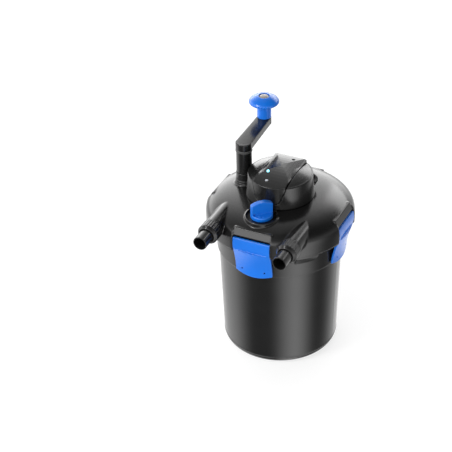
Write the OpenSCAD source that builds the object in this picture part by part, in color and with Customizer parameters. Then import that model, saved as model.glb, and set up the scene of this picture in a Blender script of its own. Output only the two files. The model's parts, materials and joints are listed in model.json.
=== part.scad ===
// Pressurised pond filter: a clamped-lid canister with a UV clarifier head, a flow dial,
// a crank that turns the foam pack for cleaning, and two unioned hose tails.
// Origin: centre of the canister's base. +Z up, hose tails towards -Y. Millimetres.

/* [Canister] */
// Outer radius of the canister at its base
base_r = 134.5; // [132:0.5:137]
// Outer radius of the canister just under its collar
top_r = 141.7; // [139:0.1:143]
// Wall thickness of the canister
wall = 4; // [3:0.5:4.5]
// Height of the seam between canister and lid
seam_z = 322; // [322:1:350]

/* [Lid] */
// Outer radius of the lid's skirt
lid_r = 170; // [168:0.5:172]
// Height of the crown above the seam
lid_h = 69; // [68:0.5:72]
// Squareness of the shoulder, 2 is an ellipse
crown_n = 3.3; // [3:0.1:3.8]

/* [Latches] */
// Width of a latch lever
lever_w = 88.4; // [70:0.2:88.4]
// Width of the pocket in the lid
pocket_w = 90; // [89:0.5:92]

/* [Hose connectors] */
// Outside diameter of a hose tail
tail_od = 32; // [25:0.5:32]
// Wall of a hose tail
tail_wall = 2.5; // [2:0.5:3]
// Distance of each connector from the middle
port_x = 94; // [92:1:96]
// How far a tail reaches in front of the axis
tail_reach = 222.7; // [212:0.1:230]

/* [Crank] */
// Length of the crank's arm between its two axes
arm_len = 112; // [90:1:120]
// Radius of the crank's round handle
knob_r = 35; // [30:0.5:36]
// Number of teeth on the drive pinion
pinion_teeth = 21; // [21:1:21]
// Number of teeth on the foam carrier's gear
gear_teeth = 42; // [42:1:42]

/* [UV head] */
// Radius of the UV housing at its foot
drum_r = 78; // [76:0.5:79]
// Radius of the UV housing at its rim
rim_r = 73.7; // [71:0.1:75]
// Width of the removable cover band
band_w = 78; // [70:1:80]

/* [Dial] */
// Radius of the dial's foot
dial_r = 25; // [22:0.5:25]
// Thickness of the dial's grip bar
grip_t = 12; // [9:0.5:14]

/* [Hidden] */
$fn = 96;

// Colours
black = [0.07, 0.07, 0.075];
dark = [0.14, 0.14, 0.15];
blue = [0.16, 0.5, 0.9];
steel = [0.75, 0.76, 0.78];
rubber = [0.05, 0.05, 0.05];
foam = [0.2, 0.35, 0.6];
pale = [0.85, 0.86, 0.84];

// Clearances
fit = 0.02;       // between pieces that are fixed together
run = 0.05;       // between a shaft and its bore
gap = 0.5;        // between neighbours that move apart

// Canister
floor_t = 6;
foot_round = 15;
collar_r = 146.5;
collar_z = seam_z - 63;
flare_z = seam_z - 22;
rim_lip = 2;
flange_r = lid_r - 2;
mouth_r = 138;

// Lid
skirt_h = 18;
skin = 4.5;
crown_z = seam_z + lid_h;
cavity_r = 144;
spigot_r = mouth_r - 0.6;
spigot_t = 4;
spigot_z = seam_z - 10;

// Latches, in a frame whose +X is the latch's own outward direction
latch_angles = [-90, 0, 90, 180];
pocket_x = 148;
face_x = 152;
ledge_x = 158.6;
ledge_z = seam_z + 35;
ledge_top = seam_z + 55.2;
pin_r = 2.5;
pin_x = 157.8;
pin_z = seam_z + 25.3;
pin_end = 53;
lip_x = 152;
lip_z = seam_z - 12;
lip_w = 64;
tooth_w = 56;
lever_top = seam_z + 33.5;
lever_low = seam_z - 68;
lever_bow = 8;
lever_wall = 4;
lever_foot_r = 153.7;

// Grip lugs under the canister's flange, at opposite corners
lug_angles = [-45, 135];
lug_half = 9;
lug_z = seam_z - 30;

// Hose connectors
port_z = seam_z + 41;
port_r = 22;
port_bore = 12;
thread_r = 20.5;
port_end = tail_reach - 46.7;
shoulder_y = 156.5;
nut_r = 24;
nut_back = 157;
nut_front = 190;
seal_t = 2;
flange_t = 6;

// Dial and the valve below it
dial_y = -103.5;
ring_r = 38;
recess_r = 34.5;
recess_z = crown_z - 5;
dial_top = crown_z + 35;
valve_r = 30;
rotor_r = 24;
valve_low = seam_z + 12;
valve_top = seam_z + 54;
spindle_r = 6;
duct_r = 13;
duct_bore = 10.5;
duct_y = -88;
stub_y = -94;

// Gears
module_mm = 3;
gear_z = seam_z + 18;
gear_h = 12;

// Crank
crank_angle = 174.3;
crank_r = module_mm * (pinion_teeth + gear_teeth) / 2;
crank_x = crank_r * cos(crank_angle);
crank_y = crank_r * sin(crank_angle);
shaft_r = 8;
boss_r = 21;
boss_z = crown_z + 6;
gland_h = 22;
column_r = 18;
column_z = seam_z + 156;
arm_t = 17;
arm_rise = 7;
arm_z = column_z + arm_t;
grip_z = column_z + arm_rise + arm_t;
knob_top = seam_z + 236;
stem_r = 16.4;
knob_pin_r = 5;

// Foam pack and its tube
tube_r = 40;
tube_top = seam_z + 44;
hub_in = 43;
foam_r = 112;
plate_t = 4;
base_z = 30;
top_z = seam_z - 2;
foam_h = (top_z - base_z - plate_t - 1) / 3;
rod_r = 3;
rod_ring = 96;
rod_count = 4;

// UV head
drum_z = crown_z;
rim_z = seam_z + 122;
drum_top = seam_z + 133;
drum_wall = 5.5;
cover_t = 3;
tongue_z = seam_z + 83;
groove = 0.9;
band_back = 60;
band_peak = 10;
sleeve_r = 19;
gland_angle = 40;
gland_z = seam_z + 90;
gland_x = 79.5;
screw_spots = [[-10, -54], [14, 42]];
lens_spot = [-19, -25];

// Solids of revolution and bars that the parts are made from
module ring(z0, z1, r_in, r_out) {
    rotate_extrude() translate([r_in, z0]) square([r_out - r_in, z1 - z0]);
}

module disc(z0, z1, r) {
    translate([0, 0, z0]) cylinder(h = z1 - z0, r = r);
}

// A round bar along Y between two values of y
module bar_y(y0, y1, r) {
    translate([0, y1, 0]) rotate([90, 0, 0]) cylinder(h = y1 - y0, r = r);
}

// A round bar along X between two values of x
module bar_x(x0, x1, r) {
    translate([x0, 0, 0]) rotate([0, 90, 0]) cylinder(h = x1 - x0, r = r);
}

// A box from its lowest to its highest corner
module block(low, high) {
    translate(low) cube(high - low);
}

// Points on a quarter arc between two angles
function arc(cx, cy, rx, ry, a0, a1, n) =
    [for (i = [0:n]) let (a = a0 + (a1 - a0) * i / n) [cx + rx * cos(a), cy + ry * sin(a)]];

// Height of the lid's outer surface at radius r
function crown(r) = seam_z + skirt_h
    + (lid_h - skirt_h) * pow(1 - pow(r / lid_r, crown_n), 1 / crown_n);

// The shoulder and crown, from the skirt to the middle
function crown_points(n) =
    [for (i = [0:n]) let (a = 90 * i / n)
        [lid_r * pow(cos(a), 2 / crown_n),
         seam_z + skirt_h + (lid_h - skirt_h) * pow(sin(a), 2 / crown_n)]];

module at_each(angles) {
    for (a = angles) rotate([0, 0, a]) children();
}

// ---- Canister ----
module canister_solid() {
    rotate_extrude() polygon(concat(
        [[0, 0]],
        arc(base_r - foot_round, foot_round, foot_round, foot_round, -90, 0, 8),
        [[base_r + 0.9, foot_round + 2], [base_r + 0.4, foot_round + 4]],
        [[top_r, collar_z - 4]],
        arc(collar_r - 4.8, collar_z, 4.8, 4, -60, 0, 4),
        [[collar_r, seam_z], [0, seam_z]]));
}

module flange_flare() {
    rotate_extrude() polygon(concat(
        [[collar_r - 2, flare_z]],
        arc(flange_r, flare_z, flange_r - collar_r, seam_z - flare_z - rim_lip, 180, 90, 10),
        [[flange_r, seam_z], [collar_r - 2, seam_z]]));
}

// A wedge that slopes inwards and down from the flange's edge
module grip_lug() intersection() {
    rotate_extrude() polygon([
        [collar_r - 4, lug_z], [collar_r + 2, lug_z], [collar_r + 3.5, lug_z + 1.5],
        [flange_r - 1, seam_z - 5], [flange_r - 1, seam_z - 1], [collar_r - 4, seam_z - 1]]);
    rotate([0, 0, -lug_half]) block([0, 0, 0], [300, 300, 400]);
    rotate([0, 0, lug_half]) block([0, -300, 0], [300, 0, 400]);
}

module canister() color(black) difference() {
    union() {
        canister_solid();
        difference() {
            flange_flare();
            at_each(latch_angles)
                block([collar_r + 0.1, -pocket_w / 2 - 1, flare_z - 5],
                      [lid_r + 20, pocket_w / 2 + 1, seam_z + 1]);
        }
        at_each(lug_angles) grip_lug();
        at_each(latch_angles)
            block([collar_r - 5, -lip_w / 2, lip_z], [lip_x, lip_w / 2, seam_z]);
    }
    rotate_extrude() polygon([
        [0, floor_t], [base_r - wall - 12, floor_t], [base_r - wall, floor_t + 12],
        [top_r - wall, collar_z - 4], [mouth_r, collar_z + 6], [mouth_r, seam_z + 1],
        [0, seam_z + 1]]);
}

// ---- Lid ----
module lid_solid() {
    rotate_extrude() polygon(concat(
        [[0, seam_z], [lid_r - 1.5, seam_z], [lid_r, seam_z + 1.5]],
        [for (p = crown_points(28)) [max(p.x, 0), p.y]]));
}

// The space under the lid, made smaller all round by inset
module lid_cavity(inset) {
    rotate_extrude() polygon(concat(
        [[0, spigot_z - 1], [spigot_r - spigot_t - inset, spigot_z - 1],
         [spigot_r - spigot_t - inset, seam_z + 8 + inset],
         [cavity_r - inset, seam_z + 12 + inset]],
        [for (i = [12:-1:0]) let (r = (cavity_r - inset) * i / 12) [r, crown(r) - skin - inset]]));
}

module lid_ports() {
    for (s = [-1, 1]) translate([s * port_x, 0, port_z]) {
        bar_y(-shoulder_y, -40, port_r);
        bar_y(-port_end, -shoulder_y, thread_r);
    }
}

// The sloping ledge over a latch's pocket
module ledge() translate([0, pocket_w / 2, 0]) rotate([90, 0, 0]) linear_extrude(pocket_w) polygon([
    [face_x - 6, ledge_z], [face_x + 2, ledge_z], [ledge_x - 0.6, ledge_z + 2.5],
    [ledge_x, ledge_z + 4], [face_x - 0.5, ledge_top - 0.8], [face_x - 2.5, ledge_top],
    [face_x - 6, ledge_top]]);

module lid() color(black) difference() {
    union() {
        difference() {
            union() {
                lid_solid();
                lid_ports();
                translate([crank_x, crank_y, 0]) rotate_extrude() polygon(concat(
                    [[0, seam_z + 50], [boss_r + 7, seam_z + 50]],
                    arc(boss_r + 7, boss_z - 1, 7, boss_z - crown(crank_r) + 4, 270, 180, 6),
                    [[boss_r - 1, boss_z], [0, boss_z]]));
                translate([0, dial_y, 0]) rotate_extrude() polygon([
                    [0, seam_z + 40], [ring_r + 2, seam_z + 40], [ring_r, crown_z - 1.5],
                    [ring_r - 1.5, crown_z], [0, crown_z]]);
            }
            lid_cavity(0);
            at_each(latch_angles) {
                block([face_x, -pocket_w / 2, seam_z - 1], [lid_r + 20, pocket_w / 2, crown_z]);
                block([pocket_x, -pocket_w / 2, seam_z - 1], [face_x + 1, pocket_w / 2, ledge_z]);
            }
        }
        ring(spigot_z, seam_z + 8, spigot_r - spigot_t, spigot_r);
        for (s = [-1, 1]) translate([s * port_x, 0, port_z]) bar_y(-130, stub_y - fit, duct_r + 2);
        at_each(latch_angles) ledge();
        // Bosses under the crown for the valve, the crank's bush and the centre tube
        translate([0, dial_y, 0]) disc(valve_top, crown(-dial_y) - 1, valve_r);
        translate([crank_x, crank_y, 0]) disc(seam_z + 40, crown_z - 3, 16);
        ring(seam_z + 36, crown_z - 3, tube_r + 0.1, tube_r + 5);
    }
    // Flat on the crank's boss where the UV housing stands
    disc(crown_z, boss_z + 1, drum_r + fit);
    // Groove for the lid's seal
    ring(seam_z - 9, seam_z - 4.5, spigot_r - 2.5, spigot_r + 1);
    // Dial recess, its spindle's bore and its seal's groove
    difference() {
        translate([0, dial_y, 0]) disc(recess_z, crown_z + 1, recess_r);
        disc(recess_z - 1, crown_z + 2, drum_r + 0.2);
    }
    translate([0, dial_y, 0]) {
        disc(seam_z + 40, crown_z + 1, spindle_r + run);
        disc(recess_z - 8, recess_z - 4, spindle_r + 3);
    }
    // Bore for the crank's bush
    translate([crank_x, crank_y, 0]) disc(seam_z + 30, boss_z + 1, shaft_r + 4 + fit);
    // Opening for the quartz sleeve
    disc(seam_z + 60, crown_z + 1, 30);
    // Water ways through the hose connectors
    for (s = [-1, 1]) translate([s * port_x, 0, port_z]) bar_y(-port_end - 1, stub_y + 5, port_bore);
    // Holes that hold the ends of the latches' pins
    at_each(latch_angles) translate([pin_x, 0, pin_z])
        bar_y(-pin_end - 0.2, pin_end + 0.2, pin_r + fit);
}

module lid_seal() color(rubber) ring(seam_z - 8.8, seam_z - 4.7, spigot_r - 2.4, mouth_r - fit);

// ---- Latches ----
// Side outline of a lever: a bulged band at the top that the hinge pin runs through
module lever_side() {
    translate([0, 60, 0]) rotate([90, 0, 0]) linear_extrude(120) polygon(concat(
        [[130, lever_low - 2], [180, lever_low - 2], [180, seam_z - 2], [162.4, seam_z + 4]],
        arc(156.4, seam_z + 17, 6.9, 21, -28, 52, 8),
        [[159.2, lever_top - 0.6]],
        arc(pin_x - 0.6, pin_z, 5.2, lever_top - pin_z, 62, 118, 6),
        [[153.5, pin_z + 3], [153.5, seam_z + 3], [130, seam_z + 3]]));
}

// Radius of the lever's hollow outer face at height z, above its lower corners
function lever_face(z) = lever_foot_r + 14.8 * pow(max(0, z - lever_low - lever_bow) / 68, 1.6);
lever_steps = [for (i = [0:7]) lever_low + lever_bow + 10 * i];

// Front outline of a lever: straight sides and a bowed lower edge with round corners
module lever_front() {
    half = lever_w / 2;
    bow_r = (half * half + lever_bow * lever_bow) / (2 * lever_bow);
    rotate([90, 0, 90]) linear_extrude(200) intersection() {
        translate([0, lever_low + bow_r]) circle(r = bow_r, $fn = 180);
        translate([-half, lever_low]) square([lever_w, lever_top - lever_low + 1]);
    }
}

module lever() color(blue) difference() {
    union() {
        intersection() {
            rotate_extrude() polygon(concat(
                [[130, lever_low - 2], [lever_foot_r, lever_low - 2]],
                [for (z = lever_steps) [lever_face(z), z]],
                [[lid_r, seam_z + 15], [lid_r, lever_top + 1], [130, lever_top + 1]]));
            lever_side();
            lever_front();
        }
        // Cam tooth that pulls up under the canister's lip
        block([148.8, -tooth_w / 2, lip_z - 9], [155, tooth_w / 2, lip_z - 0.4]);
    }
    // Hollow back, following the collar
    difference() {
        rotate_extrude() polygon(concat(
            [[120, lever_low - 3], [lever_foot_r - lever_wall, lever_low - 3]],
            [for (z = lever_steps) if (z < seam_z - 10) [lever_face(z) - lever_wall, z]],
            [[lever_face(seam_z - 10) - lever_wall, seam_z + 3.5], [120, seam_z + 3.5]]));
        block([147, -tooth_w / 2, lip_z - 9], [175, tooth_w / 2, lip_z - 0.4]);
    }
    translate([pin_x, 0, pin_z]) bar_y(-60, 60, pin_r + run);
    for (s = [-1, 1]) translate([0, s * 27, seam_z - 51]) bar_x(140, 175, 2.2);
}

module latch_front() rotate([0, 0, latch_angles[0]]) lever();
module latch_right() rotate([0, 0, latch_angles[1]]) lever();
module latch_back() rotate([0, 0, latch_angles[2]]) lever();
module latch_left() rotate([0, 0, latch_angles[3]]) lever();

module latch_pins() color(steel)
    at_each(latch_angles) translate([pin_x, 0, pin_z]) bar_y(-pin_end, pin_end, pin_r);

// ---- Hose connectors ----
module union_nut() color(black) difference() {
    rotate([90, 0, 0]) rotate_extrude() polygon([
        [thread_r + run, nut_back], [nut_r - 1, nut_back], [nut_r, nut_back + 1],
        [nut_r, nut_front - 6], [nut_r - 5, nut_front], [tail_od / 2 + 0.4, nut_front],
        [tail_od / 2 + 0.4, nut_front - 5.5], [thread_r + run, nut_front - 5.5]]);
    // Grip flutes
    for (a = [0:15:345]) rotate([0, a, 0]) translate([nut_r + 1.2, 0, 0])
        bar_y(-nut_front + 5, -nut_back - 3, 2);
}

module hose_tail() color(black) rotate([90, 0, 0]) rotate_extrude() polygon(concat(
    [[tail_od / 2 - tail_wall, port_end + seal_t],
     [thread_r - 0.7, port_end + seal_t], [thread_r - 0.7, port_end + seal_t + flange_t],
     [tail_od / 2 - 0.5, port_end + seal_t + flange_t], [tail_od / 2 - 0.5, nut_front + 0.5],
     [tail_od / 2, nut_front + 0.5], [tail_od / 2, tail_reach - 1.2]],
    arc(tail_od / 2 - 1.2, tail_reach - 1.2, 1.2, 1.2, 0, 90, 4),
    [[tail_od / 2 - tail_wall, tail_reach]]));

module inlet_nut() translate([-port_x, 0, port_z]) union_nut();
module outlet_nut() translate([port_x, 0, port_z]) union_nut();
module inlet_tail() translate([-port_x, 0, port_z]) hose_tail();
module outlet_tail() translate([port_x, 0, port_z]) hose_tail();

module tail_seals() color(rubber) for (s = [-1, 1]) translate([s * port_x, 0, port_z])
    rotate([90, 0, 0]) ring(port_end + fit, port_end + seal_t - fit, port_bore + 1, thread_r - 1);

// An elbow under the lid from a connector's inner stub to the valve, for side s
module duct(s) color(dark) difference() {
    union() {
        translate([0, duct_y, port_z]) bar_x(min(0, s * port_x), max(0, s * port_x), duct_r);
        translate([s * port_x, 0, port_z]) bar_y(stub_y, duct_y, duct_r);
        translate([s * port_x, duct_y, port_z]) sphere(r = duct_r);
    }
    translate([0, duct_y, port_z]) bar_x(min(0, s * port_x), max(0, s * port_x), duct_bore);
    translate([s * port_x, 0, port_z]) bar_y(stub_y - 1, duct_y, duct_bore);
    translate([s * port_x, duct_y, port_z]) sphere(r = duct_bore);
    translate([s * port_x, 0, port_z]) bar_y(-130, stub_y, duct_r + 2 + fit);
    translate([0, dial_y, 0]) disc(seam_z, crown_z, valve_r + fit);
}

module inlet_duct() duct(-1);
module outlet_duct() duct(1);

// ---- Dial and valve ----
module valve_body() color(dark) translate([0, dial_y, 0]) difference() {
    disc(valve_low, valve_top, valve_r);
    disc(valve_low + 4, valve_top + 1, rotor_r + run);
    for (s = [-1, 1]) {
        translate([0, duct_y - dial_y, port_z]) bar_x(min(0, s * 40), max(0, s * 40), duct_bore);
        translate([s * 13, 0, 0]) disc(valve_low - 1, valve_low + 5, 7);
    }
}

module valve_rotor() color(pale) translate([0, dial_y, 0]) difference() {
    disc(valve_low + 4.3, valve_top - 0.4, rotor_r);
    for (s = [-1, 1]) {
        translate([0, duct_y - dial_y, port_z]) bar_x(min(s * 6, s * 30), max(s * 6, s * 30), 9);
        translate([s * 13, 0, 0]) disc(valve_low, port_z, 6.5);
    }
    disc(valve_top - 14, valve_top, spindle_r + fit);
}

module dial_spindle() color(steel) translate([0, dial_y, 0])
    disc(valve_top - 14 + fit, crown_z + 4, spindle_r);

module dial_seal() color(rubber) translate([0, dial_y, 0])
    ring(recess_z - 7.8, recess_z - 4.2, spindle_r + run, spindle_r + 2.8);

module dial_knob() color(blue) translate([0, dial_y, 0]) difference() {
    union() {
        rotate_extrude() polygon(concat(
            [[0, recess_z + gap], [dial_r - 1, recess_z + gap], [dial_r, recess_z + gap + 1]],
            arc(dial_r - 3, crown_z + 3, 3, 3, 0, 90, 4),
            [[0, crown_z + 6]]));
        // Grip bar with a rounded top
        rotate([0, 0, 45]) intersection() {
            block([-dial_r, -grip_t / 2, crown_z], [dial_r, grip_t / 2, dial_top]);
            translate([0, 0, dial_top - 46]) bar_y(-20, 20, 46);
            disc(crown_z, dial_top + 1, dial_r);
        }
    }
    disc(recess_z, crown_z + 4 + fit, spindle_r + fit);
    // Position marks around the front
    for (a = [-118, -90, -62]) rotate([0, 0, a]) translate([dial_r - 5.5, 0, crown_z + 7.2])
        sphere(r = 3);
}

// ---- Crank ----
module crank_bush() color(pale) translate([crank_x, crank_y, 0])
    ring(seam_z + 40, boss_z, shaft_r + run, shaft_r + 4);

module crank_gland() color(black) translate([crank_x, crank_y, 0]) difference() {
    rotate_extrude() polygon([
        [shaft_r + 0.3, boss_z + fit], [boss_r - 1, boss_z + fit], [boss_r - 1, boss_z + 2.4],
        [column_r + 1, boss_z + 3], [column_r + 1, boss_z + gland_h - 1],
        [column_r, boss_z + gland_h], [shaft_r + 0.3, boss_z + gland_h]]);
    disc(boss_z - 1, boss_z + 6, shaft_r + 5);
    translate([-crank_x, -crank_y, 0]) drum(0.1);
}

module crank_seal() color(rubber) translate([crank_x, crank_y, 0])
    ring(boss_z + 0.2, boss_z + 5.8, shaft_r + run, shaft_r + 4.9);

module drive_shaft() color(steel) translate([crank_x, crank_y, 0])
    disc(gear_z - 6, column_z + 8, shaft_r);

module crank_column() color(black) translate([crank_x, crank_y, 0])
    ring(boss_z + gland_h + gap, column_z - 6 - fit, shaft_r + fit, column_r);

module column_ring() color(dark) translate([crank_x, crank_y, 0]) rotate_extrude() polygon([
    [shaft_r + fit, column_z - 6], [column_r + 0.7, column_z - 6], [column_r + 1.2, column_z - 5],
    [column_r + 1.2, column_z - 1.5], [column_r + 0.4, column_z - fit], [shaft_r + fit, column_z - fit]]);

// The arm tapers from its hub to the handle and rises a little
module crank_arm() color(black) translate([crank_x, crank_y, 0]) difference() {
    union() {
        disc(column_z, arm_z, 19);
        translate([0, arm_len, 0]) disc(column_z + arm_rise, grip_z, stem_r + 0.4);
        hull() {
            disc(column_z + 0.3, arm_z - 0.3, 18.7, $fn = 32);
            translate([0, arm_len, 0]) disc(column_z + arm_rise + 0.3, grip_z - 0.3, stem_r, $fn = 32);
        }
    }
    disc(column_z - 1, column_z + 8 + fit, shaft_r + fit);
    translate([0, arm_len, 0]) disc(column_z + arm_rise + 4, grip_z + 1, knob_pin_r + fit);
}

module knob_spindle() color(steel) translate([crank_x, crank_y + arm_len, 0])
    disc(column_z + arm_rise + 4 + fit, knob_top - 12, knob_pin_r);

module crank_knob() color(blue) translate([crank_x, crank_y + arm_len, 0]) difference() {
    rotate_extrude() polygon(concat(
        [[knob_pin_r + run, grip_z + gap], [stem_r, grip_z + gap], [stem_r, knob_top - 27]],
        arc(stem_r + 5.5, knob_top - 27, 5.5, 4.5, 180, 95, 4),
        [[knob_r - 3, knob_top - 19.5]],
        arc(knob_r - 3, knob_top - 15.5, 3, 4, -80, 60, 6),
        arc(0, knob_top - 34, knob_r + 10, 34, 44, 72, 6),
        [[12.6, knob_top - 1.6], [12.6, knob_top - 6], [knob_pin_r + run, knob_top - 6]]));
    disc(knob_top - 11.6, knob_top + 1, 8.5);
    // Finger flutes under the rim
    for (a = [0:12:348]) rotate([0, 0, a]) translate([knob_r + 0.7, 0, knob_top - 22]) disc(0, 8, 2);
}

module knob_screw() color(steel) translate([crank_x, crank_y + arm_len, 0])
    disc(knob_top - 11.4, knob_top - 8, 7.5);

module knob_cap() color([0.5, 0.46, 0.42]) translate([crank_x, crank_y + arm_len, 0])
    rotate_extrude() polygon(concat(
        [[0, knob_top - 6 + fit], [12.5, knob_top - 6 + fit]],
        arc(0, knob_top - 6, 12.5, 5.2, 35, 90, 6)));

// A spur gear's outline: straight-flanked teeth with some backlash
function gear_outline(teeth) = let (pitch_r = module_mm * teeth / 2) [
    for (i = [0:teeth - 1], p = [[-3.3, -3.3], [2.7, -1.05], [2.7, 1.05], [-3.3, 3.3]])
        let (r = pitch_r + p.x, a = 360 * i / teeth + p.y / r * 180 / PI) [r * cos(a), r * sin(a)]];

module drive_pinion() color(pale) translate([crank_x, crank_y, gear_z - 2]) difference() {
    rotate([0, 0, crank_angle]) linear_extrude(gear_h + 4) polygon(gear_outline(pinion_teeth));
    disc(-1, gear_h + 5, shaft_r + fit);
}

module pinion_clip() color(steel) translate([crank_x, crank_y, 0])
    ring(gear_z - 4.5, gear_z - 2 - fit, shaft_r + fit, shaft_r + 4);

// ---- Foam pack ----
module carrier_gear() color(pale) difference() {
    union() {
        translate([0, 0, gear_z]) rotate([0, 0, crank_angle])
            linear_extrude(gear_h) polygon(gear_outline(gear_teeth));
        disc(top_z + plate_t + fit, gear_z + 1, 50);
    }
    disc(top_z, gear_z + gear_h + 1, hub_in);
}

module rod_holes(z0, z1, r) {
    for (i = [0:rod_count - 1]) rotate([0, 0, 45 + 360 * i / rod_count])
        translate([rod_ring, 0, 0]) disc(z0, z1, r);
}

// A spoked plate whose hub runs on the centre tube
module carrier_plate(z) color(dark) difference() {
    disc(z, z + plate_t, foam_r - 4);
    disc(z - 1, z + plate_t + 1, tube_r + run);
    for (a = [0:45:315]) rotate([0, 0, a]) translate([72, 0, 0]) disc(z - 1, z + plate_t + 1, 18);
    rod_holes(z - 1, z + plate_t + 1, rod_r + fit);
}

module carrier_top() carrier_plate(top_z);
module carrier_base() carrier_plate(base_z);

module tie_rods() color(steel) rod_holes(base_z - 4, top_z + plate_t + 4, rod_r);

module tie_nuts() color(steel) {
    for (z = [base_z - 4, top_z + plate_t + fit]) difference() {
        for (i = [0:rod_count - 1]) rotate([0, 0, 45 + 360 * i / rod_count])
            translate([rod_ring, 0, z]) cylinder(h = 4 - fit, r = 6, $fn = 6);
        rod_holes(z - 1, z + 5, rod_r + fit);
    }
}

module sponge(i) color(foam) difference() {
    translate([0, 0, base_z + plate_t + 0.4 + i * foam_h]) ring(0, foam_h - 0.4, hub_in, foam_r);
    rod_holes(base_z, top_z + plate_t, rod_r + fit);
}

module sponge_lower() sponge(0);
module sponge_middle() sponge(1);
module sponge_upper() sponge(2);

module centre_tube() color(dark) difference() {
    union() {
        ring(floor_t + fit, tube_top, tube_r - 3, tube_r);
        ring(base_z - 3, base_z - 0.1, tube_r - 1, tube_r + 6);
        ring(floor_t + fit, floor_t + 3, tube_r - 1, tube_r + 12);
    }
    // Rows of slots between the two journals
    for (z = [48:24:top_z - 24], a = [0:45:135]) rotate([0, 0, a])
        block([-60, -5, z], [60, 5, z + 14]);
}

module squeeze_bars() color(dark) for (a = [20, 200]) rotate([0, 0, a]) translate([118.5, 0, 0])
    disc(floor_t + 5.5, top_z - 4, 5);

module media_grid() color(dark) difference() {
    disc(base_z - 9, base_z - 6, 122);
    disc(base_z - 10, base_z - 5, tube_r + fit);
    for (r = [60:18:114], a = [0:30:330]) rotate([0, 0, a]) translate([r, 0, 0])
        disc(base_z - 10, base_z - 5, 6);
    for (a = [20, 200]) rotate([0, 0, a]) translate([118.5, 0, 0]) disc(base_z - 10, base_z - 5, 5 + fit);
}

module bio_balls() color(pale) for (i = [0:17]) rotate([0, 0, 20 * i + 10])
    translate([i % 2 == 0 ? 98 : 72, 0, floor_t + 7.3]) sphere(r = 7, $fn = 48);

// ---- UV head ----
// The housing's solid form, made larger all round by grow
module drum(grow) {
    rotate_extrude() polygon(concat(
        [[0, drum_z - max(grow, 0)], [drum_r + grow, drum_z - max(grow, 0)], [drum_r + grow, drum_z]],
        arc(rim_r - 2 + grow, rim_z - 2 + grow, 2, 2, 0, 60, 3),
        [for (i = [8:-1:0]) let (f = i / 8)
            [(rim_r - 4 + grow) * f, rim_z + grow + (drum_top - rim_z) * (1 - f * f)]]));
}

// Plan and front outline of the cover band, made wider all round by grow
module band_form(grow) {
    block([-band_w / 2 - grow, -band_back, rim_z - 12], [band_w / 2 + grow, band_back + grow, rim_z + 40]);
    half = band_w / 2 + grow;
    foot = half - 8;
    translate([0, -30, 0]) rotate([90, 0, 0]) linear_extrude(80) polygon(concat(
        [[-half, rim_z + 20], [-half, rim_z - 4]],
        arc(-foot + 14, tongue_z + 14 - grow, 14, 14, 190, 270, 8),
        arc(foot - 14, tongue_z + 14 - grow, 14, 14, 270, 350, 8),
        [[half, rim_z - 4], [half, rim_z + 20]]));
}

// The band's top: barrel-shaped across, and falling to the drum's rim in front
module band_top(lift) {
    rise = drum_top - rim_z + lift;
    intersection() {
        translate([0, 100, 0]) rotate([90, 0, 0]) linear_extrude(200) polygon(concat(
            [[60, rim_z - 60], [60, rim_z + 2], [42, rim_z + 4]],
            arc(0, rim_z, band_w / 2 + 6, rise, 25, 155, 10),
            [[-42, rim_z + 4], [-60, rim_z + 2], [-60, rim_z - 60]]));
        translate([-60, 0, 0]) rotate([90, 0, 90]) linear_extrude(120) polygon(concat(
            [[-80, rim_z - 60]],
            [for (y = [-80:10:80]) [y, rim_z + rise * (1 - pow((y - band_peak) / (rim_r + band_peak), 2))]],
            [[80, rim_z - 60]]));
    }
}

module uv_housing() color(black) difference() {
    union() {
        drum(0);
        // Boss for the cable gland
        rotate([0, 0, gland_angle]) translate([0, 0, gland_z]) bar_x(60, gland_x, 15);
    }
    intersection() {
        drum(-drum_wall);
        disc(drum_z + 4, drum_top, 100);
    }
    disc(drum_z - 1, drum_z + 5, 31);
    intersection() {
        difference() {
            drum(8);
            drum(-cover_t - 0.1);
        }
        band_form(groove);
    }
    rotate([0, 0, gland_angle]) translate([0, 0, gland_z]) bar_x(55, 90, 8 + fit);
    for (p = screw_spots) translate([p.x, p.y, 0]) disc(rim_z - 10, drum_top, 1.75);
}

module uv_cover() color(black) difference() {
    intersection() {
        union() {
            drum(0.8);
            intersection() {
                band_top(2.5);
                disc(rim_z - 6, drum_top + 10, rim_r + 0.8);
            }
        }
        difference() {
            drum(8);
            drum(-cover_t);
        }
        band_form(0);
    }
    for (p = screw_spots) translate([p.x, p.y, 0]) {
        disc(rim_z - 10, drum_top + 10, 1.75);
        disc(rim_z + (drum_top - rim_z) * (1 - pow(norm(p) / rim_r, 2)) - 0.6, drum_top + 10, 3.6);
    }
    translate([lens_spot.x, lens_spot.y, 0]) disc(rim_z - 10, drum_top + 10, 3 + fit);
}

module cover_screws() color(steel) for (p = screw_spots) translate([p.x, p.y, 0]) {
    seat = rim_z + (drum_top - rim_z) * (1 - pow(norm(p) / rim_r, 2)) - 0.6 + fit;
    difference() {
        disc(seat, seat + 2, 3.4);
        block([-4, -0.5, seat + 1], [4, 0.5, seat + 3]);
    }
    disc(seat - 9, seat, 1.7);
}

// Clear dome over the lamp's indicator
module status_lens() color([0.5, 0.95, 0.95]) translate([lens_spot.x, lens_spot.y, 0]) {
    disc(drum_top - 4, drum_top + 0.6, 3);
    translate([0, 0, drum_top + 0.6]) intersection() {
        sphere(r = 3);
        disc(0, 4, 4);
    }
}

module cable_gland() color(dark) rotate([0, 0, gland_angle]) translate([0, 0, gland_z])
    difference() {
        union() {
            bar_x(62, gland_x + 1, 8);
            bar_x(gland_x + fit, gland_x + 3, 11);
        }
        bar_x(61, gland_x + 4, 3.5);
    }

module gland_nut() color(black) rotate([0, 0, gland_angle]) translate([0, 0, gland_z])
    difference() {
        translate([gland_x + 3 + fit, 0, 0]) rotate([0, 90, 0]) cylinder(h = 3.5, r1 = 9.5, r2 = 7.5);
        bar_x(gland_x, gland_x + 8, 3.5);
    }

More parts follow.
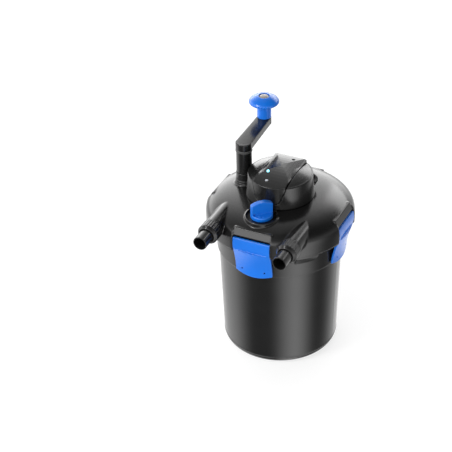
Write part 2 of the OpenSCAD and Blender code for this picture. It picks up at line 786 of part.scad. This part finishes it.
module quartz_sleeve() color([0.8, 0.9, 0.95, 0.4]) rotate_extrude() polygon(concat(
    arc(0, 70 + sleeve_r, sleeve_r, sleeve_r, -90, 0, 10),
    [[sleeve_r, crown_z + 2], [sleeve_r - 1.5, crown_z + 2]],
    arc(0, 70 + sleeve_r, sleeve_r - 1.5, sleeve_r - 1.5, 0, -90, 10)));

module sleeve_seal() color(rubber) ring(crown_z - 8, crown_z - 4.2, sleeve_r + fit, 29.9);
module sleeve_ring() color(dark) difference() {
    union() {
        ring(crown_z - 4, crown_z + 3, sleeve_r + fit, 29.9);
        ring(crown_z - 12, crown_z - 8.2, sleeve_r + fit, 29.9);
    }
}

module uvc_lamp() color(pale) union() {
    disc(95, crown_z - 3.2, 8);
    translate([0, 0, 95]) sphere(r = 8);
}

module lamp_holder() color(dark) disc(crown_z - 3, crown_z + 12, 17);

module ballast() color(dark) block([-34, -22, crown_z + 13], [34, 26, crown_z + 37]);

canister();
lid();
lid_seal();
latch_front();
latch_right();
latch_back();
latch_left();
latch_pins();
inlet_nut();
outlet_nut();
inlet_tail();
outlet_tail();
tail_seals();
inlet_duct();
outlet_duct();
valve_body();
valve_rotor();
dial_spindle();
dial_knob();
dial_seal();
crank_bush();
crank_gland();
crank_seal();
drive_shaft();
crank_column();
column_ring();
crank_arm();
knob_spindle();
crank_knob();
knob_screw();
knob_cap();
drive_pinion();
pinion_clip();
carrier_gear();
carrier_top();
carrier_base();
tie_rods();
tie_nuts();
sponge_lower();
sponge_middle();
sponge_upper();
centre_tube();
squeeze_bars();
media_grid();
bio_balls();
uv_housing();
uv_cover();
cover_screws();
status_lens();
cable_gland();
gland_nut();
quartz_sleeve();
sleeve_seal();
sleeve_ring();
uvc_lamp();
lamp_holder();
ballast();
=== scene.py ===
import json
import math

import bpy
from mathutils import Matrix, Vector


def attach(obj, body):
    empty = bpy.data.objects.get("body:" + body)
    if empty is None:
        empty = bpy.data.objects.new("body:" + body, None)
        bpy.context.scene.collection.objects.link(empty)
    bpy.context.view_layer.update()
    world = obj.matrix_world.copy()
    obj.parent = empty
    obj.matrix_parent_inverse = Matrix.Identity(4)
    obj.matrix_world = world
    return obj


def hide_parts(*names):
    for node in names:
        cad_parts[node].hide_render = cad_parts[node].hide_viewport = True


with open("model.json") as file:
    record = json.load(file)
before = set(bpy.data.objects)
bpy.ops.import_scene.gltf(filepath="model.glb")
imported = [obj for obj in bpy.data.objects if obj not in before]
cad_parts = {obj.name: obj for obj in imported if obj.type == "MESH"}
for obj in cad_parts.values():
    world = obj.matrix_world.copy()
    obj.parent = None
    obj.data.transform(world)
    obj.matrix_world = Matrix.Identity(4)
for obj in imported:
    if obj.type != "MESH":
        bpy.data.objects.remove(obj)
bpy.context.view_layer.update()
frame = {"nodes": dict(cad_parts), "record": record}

NODES = frame["nodes"]
RECORD = frame["record"]
BODY_OF = {n: b for b, ns in RECORD["behaviour"]["bodies"].items() for n in ns}
SLOT_OF = {s["node"]: s["material_slot"] for s in RECORD["subparts"]}
SCENE = bpy.context.scene
MM = 0.001


def grey(value):
    return (value, value, value)


# ---- Camera ----
VIEW_AZIMUTH = math.radians(23.6)
VIEW_ELEVATION = math.radians(34.36)
VIEW_DISTANCE = 3.0106
AIM = Vector((0.0, 0.003, 0.2705))
LENS_MM = 103.5
SENSOR_MM = 36.0
SHIFT = (-0.1217, 0.0199)


def add_camera():
    """A long lens at the reference view, with the object right of the middle."""
    data = bpy.data.cameras.new("camera")
    data.lens = LENS_MM
    data.sensor_width = SENSOR_MM
    data.shift_x, data.shift_y = SHIFT
    camera = bpy.data.objects.new("camera", data)
    back = Vector((
        math.sin(VIEW_AZIMUTH) * math.cos(VIEW_ELEVATION),
        -math.cos(VIEW_AZIMUTH) * math.cos(VIEW_ELEVATION),
        math.sin(VIEW_ELEVATION),
    ))
    camera.location = AIM + VIEW_DISTANCE * back
    camera.rotation_euler = back.to_track_quat("Z", "Y").to_euler()
    SCENE.collection.objects.link(camera)
    SCENE.camera = camera


# ---- Studio ----
# Name, place, target, width and height, all in metres, and watts
AREA_LIGHTS = [
    ("key", (-1.5, -1.9, 2.6), (0, 0, 0.35), (0.9, 0.9), 36),
    ("back", (0.5, 2.2, 1.6), (0, 0, 0.4), (1.8, 0.8), 16),
]
# Brightness all round, as (degrees from the camera towards its right, level) pairs.
# The first list is below the horizon, where the canister's wall looks; the second is above it.
SKY_STRENGTH = 8.0
LOW_CARDS = [
    (-180, 0.14), (-130, 0.15), (-105, 0.20), (-88, 0.16), (-70, 0.055), (-58, 0.02), (-24, 0.015),
    (-10, 0.06), (5, 0.22), (20, 0.35), (32, 0.39), (44, 0.29), (56, 0.16), (70, 0.03), (92, 0.02),
    (112, 0.08), (138, 0.17), (180, 0.14),
]
HIGH_CARDS = [
    (-180, 0.85), (-140, 0.50), (-100, 0.26), (-62, 0.48), (-38, 0.60), (-12, 0.30), (30, 0.17),
    (70, 0.06), (120, 0.07), (146, 0.16), (164, 0.50), (180, 0.85),
]
# How the upper cards fade with height, as (sine of the elevation, level) pairs
HEIGHT_FADE = [(0.0, 0.8), (0.2, 0.95), (0.35, 0.75), (0.56, 0.30), (0.75, 0.12), (1.0, 0.06)]
# The two lists blend over this much of the sine of the elevation, either side of the horizon
HORIZON_BLEND = 0.06
FLOOR_HALF = 12.0
FLOOR_GREY = 0.35
FLOOR_GLOW = 0.72


def area_light(name, location, target, size, power):
    data = bpy.data.lights.new(name, "AREA")
    data.shape = "RECTANGLE"
    data.size, data.size_y = size
    data.energy = power
    light = bpy.data.objects.new(name, data)
    light.location = location
    light.rotation_euler = (Vector(target) - light.location).to_track_quat("-Z", "Y").to_euler()
    light.visible_camera = False
    SCENE.collection.objects.link(light)


def eased_ramp(tree, factor, stops):
    """A grey ramp through the (position, level) stops."""
    node = tree.nodes.new("ShaderNodeValToRGB")
    node.color_ramp.interpolation = "B_SPLINE"
    elements = node.color_ramp.elements
    while len(elements) < len(stops):
        elements.new(0.5)
    for element, (position, level) in zip(elements, stops):
        element.position = position
        element.color = (level, level, level, 1.0)
    tree.links.new(factor, node.inputs[0])
    return node.outputs[0]


def math_node(tree, operation, first, second):
    node = tree.nodes.new("ShaderNodeMath")
    node.operation = operation
    for socket, value in zip(node.inputs, (first, second)):
        if isinstance(value, float):
            socket.default_value = value
        else:
            tree.links.new(value, socket)
    return node.outputs[0]


def add_world():
    """Soft bright and dark cards all round, and plain white behind the object."""
    world = bpy.data.worlds.new("world")
    SCENE.world = world
    world.use_nodes = True
    tree = world.node_tree
    tree.nodes.clear()
    coords = tree.nodes.new("ShaderNodeTexCoord")
    turn = tree.nodes.new("ShaderNodeVectorRotate")
    turn.rotation_type = "Z_AXIS"
    turn.inputs["Angle"].default_value = math.pi / 2 - VIEW_AZIMUTH
    split = tree.nodes.new("ShaderNodeSeparateXYZ")
    tree.links.new(coords.outputs["Generated"], turn.inputs["Vector"])
    tree.links.new(turn.outputs[0], split.inputs[0])
    around = math_node(tree, "ARCTAN2", split.outputs["Y"], split.outputs["X"])
    around = math_node(tree, "DIVIDE", around, 2 * math.pi)
    around = math_node(tree, "ADD", around, 0.5)
    low = eased_ramp(tree, around, [(a / 360 + 0.5, v) for a, v in LOW_CARDS])
    high = eased_ramp(tree, around, [(a / 360 + 0.5, v) for a, v in HIGH_CARDS])
    fade = eased_ramp(tree, split.outputs["Z"], HEIGHT_FADE)
    high = math_node(tree, "MULTIPLY", high, fade)
    above = tree.nodes.new("ShaderNodeMapRange")
    above.inputs["From Min"].default_value = -HORIZON_BLEND
    above.inputs["From Max"].default_value = HORIZON_BLEND
    tree.links.new(split.outputs["Z"], above.inputs["Value"])
    blend = tree.nodes.new("ShaderNodeMix")
    tree.links.new(above.outputs[0], blend.inputs["Factor"])
    tree.links.new(low, blend.inputs["A"])
    tree.links.new(high, blend.inputs["B"])
    cards = tree.nodes.new("ShaderNodeBackground")
    cards.inputs["Strength"].default_value = SKY_STRENGTH
    tree.links.new(blend.outputs[0], cards.inputs["Color"])
    plain = tree.nodes.new("ShaderNodeBackground")
    plain.inputs["Color"].default_value = (*grey(1.0), 1.0)
    seen = tree.nodes.new("ShaderNodeLightPath")
    either = tree.nodes.new("ShaderNodeMixShader")
    output = tree.nodes.new("ShaderNodeOutputWorld")
    tree.links.new(seen.outputs["Is Camera Ray"], either.inputs[0])
    tree.links.new(cards.outputs[0], either.inputs[1])
    tree.links.new(plain.outputs[0], either.inputs[2])
    tree.links.new(either.outputs[0], output.inputs["Surface"])


def add_floor():
    """A pale matt floor with some glow of its own; glossy parts don't mirror it."""
    mesh = bpy.data.meshes.new("floor")
    corners = [(x * FLOOR_HALF, y * FLOOR_HALF, 0) for x, y in ((-1, -1), (1, -1), (1, 1), (-1, 1))]
    mesh.from_pydata(corners, [], [(0, 1, 2, 3)])
    floor = bpy.data.objects.new("floor", mesh)
    SCENE.collection.objects.link(floor)
    material, _, shader = new_material("floor")
    shader.inputs["Base Color"].default_value = (*grey(FLOOR_GREY), 1.0)
    shader.inputs["Roughness"].default_value = 0.9
    shader.inputs["Emission Color"].default_value = (*grey(1.0), 1.0)
    shader.inputs["Emission Strength"].default_value = FLOOR_GLOW
    mesh.materials.append(material)
    floor.visible_glossy = False


def add_studio():
    SCENE.view_settings.view_transform = "Standard"
    add_world()
    add_floor()
    for light in AREA_LIGHTS:
        area_light(*light)


# ---- Materials ----
# The scales count noise cells per metre.
CLOUD_SCALE = 9.0
SHEEN_SCALE = 11.0
SKIN_STRENGTH = 0.25
SCRATCH_SCALE = 400.0
FOAM_SCALE = 420.0
FOAM_DEPTH_MM = 1.0
DUST_SCALE = 120.0
GLOW_SCALE = 500.0
GLOW_STRENGTH = 1.6

# Slot, darkest and lightest colour, range of roughness, scale and depth in millimetres of the skin
PLASTICS = [
    ("gloss_black", grey(0.006), grey(0.009), (0.17, 0.22), 900.0, 0.004),
    ("dark_plastic", grey(0.035), grey(0.05), (0.4, 0.5), 700.0, 0.04),
    ("blue_plastic", (0.004, 0.135, 0.60), (0.007, 0.15, 0.65), (0.20, 0.26), 800.0, 0.004),
    ("rubber", grey(0.02), grey(0.03), (0.6, 0.75), 500.0, 0.05),
    ("natural_plastic", (0.70, 0.70, 0.66), (0.80, 0.80, 0.76), (0.4, 0.5), 600.0, 0.03),
    ("grey_cap", (0.25, 0.22, 0.20), (0.33, 0.30, 0.27), (0.35, 0.45), 600.0, 0.03),
]


def new_material(name):
    material = bpy.data.materials.new(name)
    material.use_nodes = True
    tree = material.node_tree
    return material, tree, tree.nodes["Principled BSDF"]


def object_noise(tree, scale, detail=3.0, roughness=0.55):
    """Noise over the object's own coordinates, so that it stays put as the camera moves."""
    coords = tree.nodes.new("ShaderNodeTexCoord")
    noise = tree.nodes.new("ShaderNodeTexNoise")
    noise.inputs["Scale"].default_value = scale
    noise.inputs["Detail"].default_value = detail
    noise.inputs["Roughness"].default_value = roughness
    tree.links.new(coords.outputs["Object"], noise.inputs["Vector"])
    return noise.outputs[0]


def ramp_between(tree, factor, low, high, start=0.3, end=0.7):
    """A colour that goes from low to high as the factor goes from start to end."""
    ramp = tree.nodes.new("ShaderNodeValToRGB")
    first, last = ramp.color_ramp.elements
    first.position, last.position = start, end
    first.color, last.color = (*low, 1.0), (*high, 1.0)
    tree.links.new(factor, ramp.inputs[0])
    return ramp.outputs[0]


def add_bump(tree, shader, height, strength, distance):
    bump = tree.nodes.new("ShaderNodeBump")
    bump.inputs["Strength"].default_value = strength
    bump.inputs["Distance"].default_value = distance
    tree.links.new(height, bump.inputs["Height"])
    tree.links.new(bump.outputs[0], shader.inputs["Normal"])


def moulded_plastic(name, low, high, rough, grain_scale, grain_mm):
    """Moulded plastic: slight mottling of colour and gloss, and a fine skin texture."""
    material, tree, shader = new_material(name)
    cloud = object_noise(tree, CLOUD_SCALE)
    tree.links.new(ramp_between(tree, cloud, low, high), shader.inputs["Base Color"])
    sheen = object_noise(tree, SHEEN_SCALE, 4.0, 0.5)
    tree.links.new(ramp_between(tree, sheen, grey(rough[0]), grey(rough[1])),
                   shader.inputs["Roughness"])
    add_bump(tree, shader, object_noise(tree, grain_scale, 2.0), SKIN_STRENGTH, grain_mm * MM)
    return material


def brushed_metal(name, base, rough):
    """Metal with fine scratches in its colour and gloss."""
    material, tree, shader = new_material(name)
    scratches = object_noise(tree, SCRATCH_SCALE, 4.0, 0.7)
    tree.links.new(ramp_between(tree, scratches, tuple(0.8 * c for c in base), base),
                   shader.inputs["Base Color"])
    tree.links.new(ramp_between(tree, scratches, grey(rough - 0.08), grey(rough + 0.08)),
                   shader.inputs["Roughness"])
    shader.inputs["Metallic"].default_value = 1.0
    return material


def open_foam(name, low, high):
    """Open-cell foam: pores painted dark as shade, between lighter walls."""
    material, tree, shader = new_material(name)
    coords = tree.nodes.new("ShaderNodeTexCoord")
    cells = tree.nodes.new("ShaderNodeTexVoronoi")
    cells.inputs["Scale"].default_value = FOAM_SCALE
    tree.links.new(coords.outputs["Object"], cells.inputs["Vector"])
    # Painted shade: the colour darkens towards the middle of each cell, where the pore's hollow
    # would be shaded.
    tree.links.new(ramp_between(tree, cells.outputs["Distance"], low, high, 0.1, 0.6),
                   shader.inputs["Base Color"])
    shader.inputs["Roughness"].default_value = 0.95
    add_bump(tree, shader, cells.outputs["Distance"], 0.8, FOAM_DEPTH_MM * MM)
    return material


def clear_glass(name, tint, alpha):
    """Thin glass with a trace of dust."""
    material, tree, shader = new_material(name)
    dust = object_noise(tree, DUST_SCALE)
    tree.links.new(ramp_between(tree, dust, tuple(0.94 * c for c in tint), tint),
                   shader.inputs["Base Color"])
    shader.inputs["Roughness"].default_value = 0.05
    shader.inputs["Alpha"].default_value = alpha
    return material


def status_light(name):
    """A small glowing lens."""
    material, tree, shader = new_material(name)
    glow = object_noise(tree, GLOW_SCALE)
    tree.links.new(ramp_between(tree, glow, (0.30, 0.85, 0.92), (0.45, 0.95, 1.0)),
                   shader.inputs["Base Color"])
    shader.inputs["Roughness"].default_value = 0.2
    shader.inputs["Emission Color"].default_value = (0.25, 0.85, 1.0, 1.0)
    shader.inputs["Emission Strength"].default_value = GLOW_STRENGTH
    return material


def make_materials():
    """The material of each slot."""
    materials = {slot: moulded_plastic(slot, *values) for slot, *values in PLASTICS}
    materials["steel"] = brushed_metal("steel", (0.60, 0.61, 0.62), 0.3)
    # The darker foam colour is painted shade in the pores, and the lighter one is the walls' own
    # colour.
    materials["foam_coarse"] = open_foam("foam_coarse", (0.03, 0.06, 0.14), (0.12, 0.22, 0.45))
    materials["status_light"] = status_light("status_light")
    materials["quartz"] = clear_glass("quartz", (0.85, 0.92, 0.95), 0.3)
    materials["lamp_glass"] = clear_glass("lamp_glass", (0.92, 0.94, 0.97), 0.6)
    return materials


def dress(obj, material):
    obj.data.materials.clear()
    obj.data.materials.append(material)


# ---- Pieces ----
# Node, voxel in millimetres, rounds of easing and share of faces kept
SHELLS = [
    ("lid", 1.4, 5, 0.5),
    ("latch_front", 0.55, 6, 0.8), ("latch_right", 0.55, 6, 0.8),
    ("latch_back", 0.55, 6, 0.8), ("latch_left", 0.55, 6, 0.8),
    ("dial_knob", 0.5, 5, 0.6), ("crank_knob", 0.6, 4, 0.6),
    ("crank_arm", 0.8, 6, 0.6), ("crank_column", 0.7, 3, 0.5),
    ("column_ring", 0.4, 3, 0.6), ("crank_gland", 0.6, 4, 0.6),
    ("uv_housing", 1.0, 3, 0.6), ("uv_cover", 0.7, 4, 0.6),
    ("inlet_nut", 0.5, 3, 0.6), ("outlet_nut", 0.5, 3, 0.6),
    ("cable_gland", 0.4, 3, 0.6), ("gland_nut", 0.3, 3, 0.6),
]
EASE_FACTOR = 0.5


def refined(node, voxel_mm, rounds, keep):
    """A piece with softly rounded edges made from a CAD node: remeshed, eased and thinned."""
    piece = bpy.data.objects.new(node + "_shell", NODES[node].data.copy())
    SCENE.collection.objects.link(piece)
    remesh = piece.modifiers.new("remesh", "REMESH")
    remesh.mode = "VOXEL"
    remesh.voxel_size = voxel_mm * MM
    ease = piece.modifiers.new("ease", "SMOOTH")
    ease.factor = EASE_FACTOR
    ease.iterations = rounds
    thin = piece.modifiers.new("thin", "DECIMATE")
    thin.ratio = keep
    graph = bpy.context.evaluated_depsgraph_get()
    mesh = bpy.data.meshes.new_from_object(piece.evaluated_get(graph))
    piece.modifiers.clear()
    piece.data = mesh
    mesh.shade_smooth()
    dress(piece, MATERIALS[SLOT_OF[node]])
    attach(piece, BODY_OF[node])
    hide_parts(node)


# ---- Build ----
MATERIALS = make_materials()
add_camera()
add_studio()

for name, node in NODES.items():
    dress(node, MATERIALS[SLOT_OF[name]])
for shell in SHELLS:
    refined(*shell)
